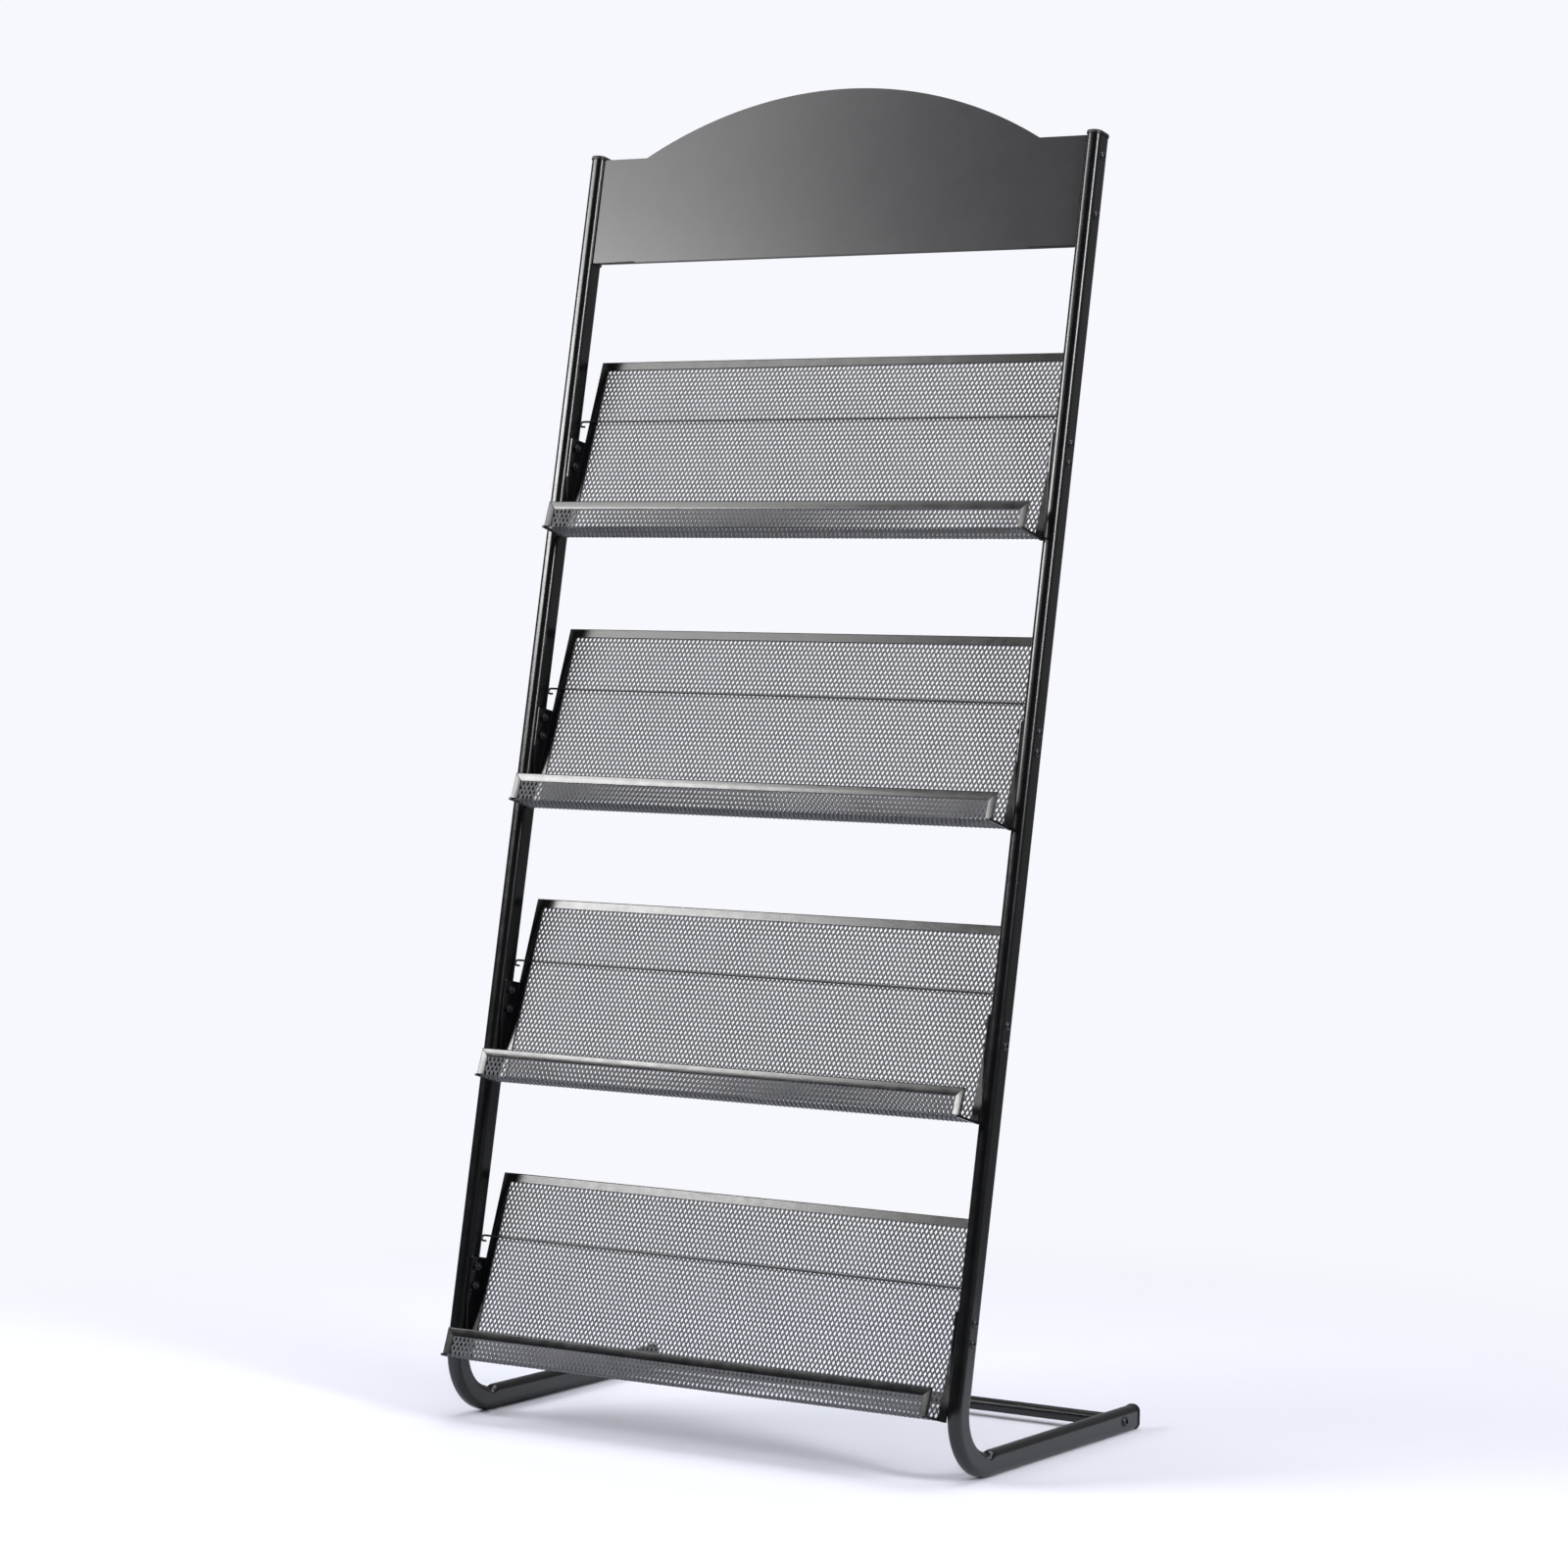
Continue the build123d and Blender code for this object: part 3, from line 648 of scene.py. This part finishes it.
def moved(bm, offset):
    """The same shape after a straight move."""
    bmesh.ops.translate(bm, vec=offset, verts=bm.verts)
    return bm


strip_width, strip_nub, strip_round = 3.0, 3.0, 0.6
for number in range(1, tray_count + 1):
    tray = f"tray_{number}"
    place = on_tray(number)
    set_down(f"{tray}_back_top_strip", top_rim(back_rim, back_height), place, rim_black,
             [f"{tray}_back_top_rim"])
    set_down(f"{tray}_back_side_strips", side_rims(back_rim, back_height, rim_thickness / 2), place,
             rim_black, [f"{tray}_back_side_rims"])
    set_down(f"{tray}_lip_top_strip", moved(top_rim(lip_rim, lip_height, lip_ridge), front_fold), place,
             rim_black, [f"{tray}_lip_top_rim"])
    lip_sides = moved(side_rims(lip_rim, lip_height, rim_thickness / 2, lip_ridge), front_fold)
    set_down(f"{tray}_lip_side_strips", lip_sides, place, rim_black, [f"{tray}_lip_side_rims"])
    bm = bmesh.new()
    bmesh.ops.create_cube(bm, size=1.0)
    length = floor_depth + rim_thickness + strip_nub
    bmesh.ops.scale(bm, vec=(strip_width, length, rim_thickness), verts=bm.verts)
    round_off(bm, bm.edges[:], strip_round, 3)
    bmesh.ops.translate(bm, vec=(tray_half - strip_width / 2, rim_thickness / 2 - length / 2, 0),
                        verts=bm.verts)
    bmesh.ops.rotate(bm, verts=bm.verts, matrix=Matrix.Rotation(floor_droop, 3, "X"))
    both_sides(bm)
    set_down(f"{tray}_floor_edge_strips", bm, place, rim_black, [f"{tray}_floor_strips"])


# ---- The trays' wires -------------------------------------------------------------------------------
# A 2 mm steel rod across each back panel keeps papers upright.  Its ends are turned down into small
# hairpins behind the posts, and each one was welded on by hand, so no two lie quite level.
wire_diameter, hook_radius, wire_overhang, wire_tail, wire_end = 2.0, 2.6, 9.5, 3.0, 0.3
wire_clearance = 1.9                     # between the hairpins and the backs of the posts
wire_tilts = (0.08, 0.25, 0.12, 0.05)    # degrees off level, top tray first
wire_black = powder_coat("black powder coat on wire", "#131417", "#1a1b1e", gloss=0.30, spread=0.05, peel=1.0,
                         peel_height=0.01)
stand_off = (rim_thickness + wire_diameter) / 2 * math.cos(tray_tilt) + wire_diameter / 2
wire_height = (tube_depth - tray_setback + wire_clearance + stand_off
               + 2 * hook_radius * math.sin(tray_tilt)) / math.sin(tray_tilt)
bend_x = tray_half + wire_overhang - hook_radius - wire_diameter / 2

for number, tilt in enumerate(wire_tilts, start=1):
    bm = bmesh.new()
    bmesh.ops.create_circle(bm, cap_ends=True, segments=16, radius=wire_diameter / 2)
    turn_about(bm, "Y", 90)
    end = draw_out(bm, bm.faces[:], (bend_x, 0, 0))
    spun = bmesh.ops.spin(bm, geom=with_edges(end), cent=(bend_x, 0, -hook_radius), axis=(0, 1, 0),
                          angle=math.pi, steps=14)
    tip = draw_out(bm, faces_of(spun["geom_last"]), (-wire_tail, 0, 0))
    round_off(bm, tip[0].edges[:], wire_end, 3)
    middle = [f for f in bm.faces if all(abs(v.co.x) < 1e-4 for v in f.verts)]
    bmesh.ops.delete(bm, geom=middle, context="FACES")
    bmesh.ops.mirror(bm, geom=everything(bm), axis="X", merge_dist=0.001)
    bmesh.ops.recalc_face_normals(bm, faces=bm.faces)
    turn_about(bm, "Y", tilt)
    bmesh.ops.translate(bm, vec=(0, -(rim_thickness + wire_diameter) / 2, wire_height), verts=bm.verts)
    set_down(f"tray_{number}_paper_wire", bm, on_tray(number), wire_black,
             [f"tray_{number}_wire"])


# ---- The trays' brackets ----------------------------------------------------------------------------
# A 3 mm steel plate with a tapered gusset is welded to each end of the tray and fills the gap to the
# post; two bolts go through the post and the plate.
bracket_front, bracket_top, bracket_shoulder, bracket_foot, bracket_edge = 4.5, 97.0, 60.0, 12.0, 0.4
slope = math.tan(tray_tilt)
outline = [(bracket_front, bracket_top), (bracket_front, bracket_shoulder),
           (tray_setback + bracket_foot * slope - rim_thickness / 2, bracket_foot),
           (tray_setback + bracket_foot * slope + rim_thickness / 2, bracket_foot),
           (tray_setback + bracket_top * slope + rim_thickness / 2, bracket_top)]


def above_fold(number):
    """The post's own directions, with z counted from the tray's rear fold."""
    return on_post @ Matrix.Translation((0, 0, tray_folds[number - 1]))


for number in range(1, tray_count + 1):
    bm = bmesh.new()
    face = bm.faces.new([bm.verts.new((tray_half, y, z)) for y, z in outline])
    draw_out(bm, [face], (bracket_thickness, 0, 0))
    bmesh.ops.recalc_face_normals(bm, faces=bm.faces)
    round_off(bm, bm.edges[:], bracket_edge, 2)
    both_sides(bm)
    set_down(f"tray_{number}_bracket_plates", bm, above_fold(number), frame_black,
             [f"tray_{number}_brackets"])


# ---- The trays' bolts and nuts ----------------------------------------------------------------------
# M4 button-head bolts through the posts, each with a plain hexagon nut against the bracket.
tray_bolts = (70.0, 88.0)                # above the tray's rear fold
nut_across, nut_height, bolt_tail = 7.0, 3.2, 1.5
nut_chamfer, thread_bite = 0.45, 0.05


def hexagon_nut():
    """A chamfered nut with its bore, standing on z = 0."""
    bm = bmesh.new()
    bmesh.ops.create_circle(bm, cap_ends=True, segments=6, radius=nut_across / math.sqrt(3))
    face = bm.faces[:][0]
    bmesh.ops.inset_region(bm, faces=[face], thickness=(nut_across - screw_diameter) / 2 - thread_bite,
                           use_boundary=True)
    bmesh.ops.delete(bm, geom=[face], context="FACES")
    draw_out(bm, bm.faces[:], (0, 0, nut_height))
    outer = [e for e in bm.edges if max(v.co.xy.length for v in e.verts) > nut_across / 2
             and abs(e.verts[0].co.z - e.verts[1].co.z) < 1e-4 and e.calc_face_angle(0) > 1]
    round_off(bm, outer, nut_chamfer, 2)
    bmesh.ops.recalc_face_normals(bm, faces=bm.faces)
    return bm


for number in range(1, tray_count + 1):
    bm = button_bolt(screw_diameter, screw_head, head_height, screw_socket,
                     reach=tube_width + bracket_thickness + nut_height + bolt_tail)
    turn_about(bm, "Y", 90)
    repeat(bm, [(post_centre + tube_width / 2, tube_depth / 2, height) for height in tray_bolts])
    both_sides(bm)
    set_down(f"tray_{number}_button_bolts", bm, above_fold(number), bolt_black,
             [f"tray_{number}_bolts"])
    bm = hexagon_nut()
    turn_about(bm, "Y", -90)
    repeat(bm, [(tray_half, tube_depth / 2, height) for height in tray_bolts])
    both_sides(bm)
    set_down(f"tray_{number}_hex_nuts", bm, above_fold(number), bolt_black,
             [f"tray_{number}_nuts"])


# ---- The floor and the light ------------------------------------------------------------------------
# A plain pale floor that runs out to the horizon, two soft lights to the front left, one above the other,
# a narrow upright one to the right and a broad one overhead.  The room is dark in front and paler
# behind, so that the gloss paint stays black, while the empty ground itself is seen nearly white.
floor_size = 60.0                        # metres, as are all lengths from here on
floor_near, floor_far = 0.45, 1.4        # from the rack, where the floor's shading fades into the pale ground
surround = colour("#f7f8fd")
room_front, room_back, floor_glow = 0.03, 0.30, 0.22     # brightness of the room and far floor in reflections
room_turn = (-0.3, 0.8)                  # from front to back, where the room's brightness changes


def seen_or_reflected(material, seen, reflected):
    """One strength for what is looked at directly, another for what lights and mirrors in the rack."""
    straight = add_node(material, "ShaderNodeLightPath").outputs["Is Camera Ray"]
    strength = add_node(material, "ShaderNodeMapRange", Value=straight, To_Min=reflected, To_Max=seen)
    return strength.outputs["Result"]


floor_paint = bpy.data.materials.new("pale studio floor")
floor_paint.use_nodes = True
floor_paint.node_tree.nodes.clear()
place = add_node(floor_paint, "ShaderNodeTexCoord").outputs["Object"]
away = add_node(floor_paint, "ShaderNodeVectorMath", {"operation": "LENGTH"}, Vector=place)
fade = add_node(floor_paint, "ShaderNodeMapRange", {"interpolation_type": "SMOOTHSTEP"},
                Value=away.outputs["Value"], From_Min=floor_near, From_Max=floor_far)
matt = add_node(floor_paint, "ShaderNodeBsdfDiffuse", Color=colour("#dadce6"))
glow = add_node(floor_paint, "ShaderNodeEmission", Color=surround,
                Strength=seen_or_reflected(floor_paint, 1.0, floor_glow))
blend = add_node(floor_paint, "ShaderNodeMixShader", Fac=fade.outputs["Result"])
floor_paint.node_tree.links.new(matt.outputs[0], blend.inputs[1])
floor_paint.node_tree.links.new(glow.outputs[0], blend.inputs[2])
add_node(floor_paint, "ShaderNodeOutputMaterial", Surface=blend.outputs["Shader"])
bm = bmesh.new()
bmesh.ops.create_grid(bm, x_segments=1, y_segments=1, size=floor_size / 2)
floor_mesh = bpy.data.meshes.new("studio floor")
bm.to_mesh(floor_mesh)
bm.free()
floor_mesh.materials.append(floor_paint)
floor = bpy.data.objects.new("studio_floor", floor_mesh)
bpy.context.scene.collection.objects.link(floor)

world = bpy.data.worlds.new("pale surround")
bpy.context.scene.world = world
world.use_nodes = True
world.node_tree.nodes.clear()
direction = add_node(world, "ShaderNodeTexCoord").outputs["Generated"]
backwards = add_node(world, "ShaderNodeSeparateXYZ", Vector=direction).outputs["Y"]
room = add_node(world, "ShaderNodeMapRange", Value=backwards, From_Min=room_turn[0], From_Max=room_turn[1],
                To_Min=room_front, To_Max=room_back)
sky = add_node(world, "ShaderNodeBackground", Color=surround,
               Strength=seen_or_reflected(world, 1.0, room.outputs["Result"]))
add_node(world, "ShaderNodeOutputWorld", Surface=sky.outputs["Background"])


def soft_light(name, azimuth, elevation, distance, size, power, aim=0.65):
    """Area light round the rack, turned to its middle; azimuth 0 is in front and 90 to the right."""
    lamp = bpy.data.lights.new(name, "AREA")
    lamp.shape, lamp.size, lamp.size_y, lamp.energy = "RECTANGLE", size[0], size[1], power
    light = bpy.data.objects.new(name, lamp)
    turn, rise = math.radians(azimuth), math.radians(elevation)
    away = Vector((math.sin(turn) * math.cos(rise), -math.cos(turn) * math.cos(rise), math.sin(rise)))
    light.location = Vector((0, 0, aim)) + away * distance
    light.rotation_euler = away.to_track_quat("Z", "Y").to_euler()
    bpy.context.scene.collection.objects.link(light)


soft_light("main soft light", azimuth=-47, elevation=22, distance=3.3, size=(1.5, 0.62), power=66)
soft_light("weaker light above it", azimuth=-53, elevation=36, distance=3.2, size=(1.5, 1.0), power=34)
soft_light("upright strip light", azimuth=76, elevation=24, distance=3.0, size=(0.62, 1.4), power=66)
soft_light("overhead soft light", azimuth=180, elevation=84, distance=3.0, size=(3.0, 3.0), power=98)


# ---- The camera -------------------------------------------------------------------------------------
# Front right, a little above the rack's middle height and tipped slightly down, with a long lens that
# keeps the posts nearly parallel.
yaw, pitch, roll = math.radians(32.303), -0.052, 0.014
camera_place = Vector((2.1442, -3.239 + floor_line / 1000, 0.7689))
sensor_width, focal_share = 36.0, 2.7519375      # millimetres, and the focal length over that width
forward = Vector((-math.sin(yaw) * math.cos(pitch), math.cos(yaw) * math.cos(pitch), math.sin(pitch)))
level = Vector((math.cos(yaw), math.sin(yaw), 0))
upright = level.cross(forward)
right = math.cos(roll) * level + math.sin(roll) * upright
up = -math.sin(roll) * level + math.cos(roll) * upright
lens = bpy.data.cameras.new("camera")
lens.sensor_width = sensor_width
lens.lens = sensor_width * focal_share
lens.shift_x, lens.shift_y = 0.0015, 0.0307
lens.clip_start, lens.clip_end = 0.1, 100.0
camera = bpy.data.objects.new("camera", lens)
camera.matrix_world = Matrix((
    (right.x, up.x, -forward.x, camera_place.x),
    (right.y, up.y, -forward.y, camera_place.y),
    (right.z, up.z, -forward.z, camera_place.z),
    (0, 0, 0, 1)))
bpy.context.scene.collection.objects.link(camera)
bpy.context.scene.camera = camera
bpy.context.scene.view_settings.view_transform = "Standard"
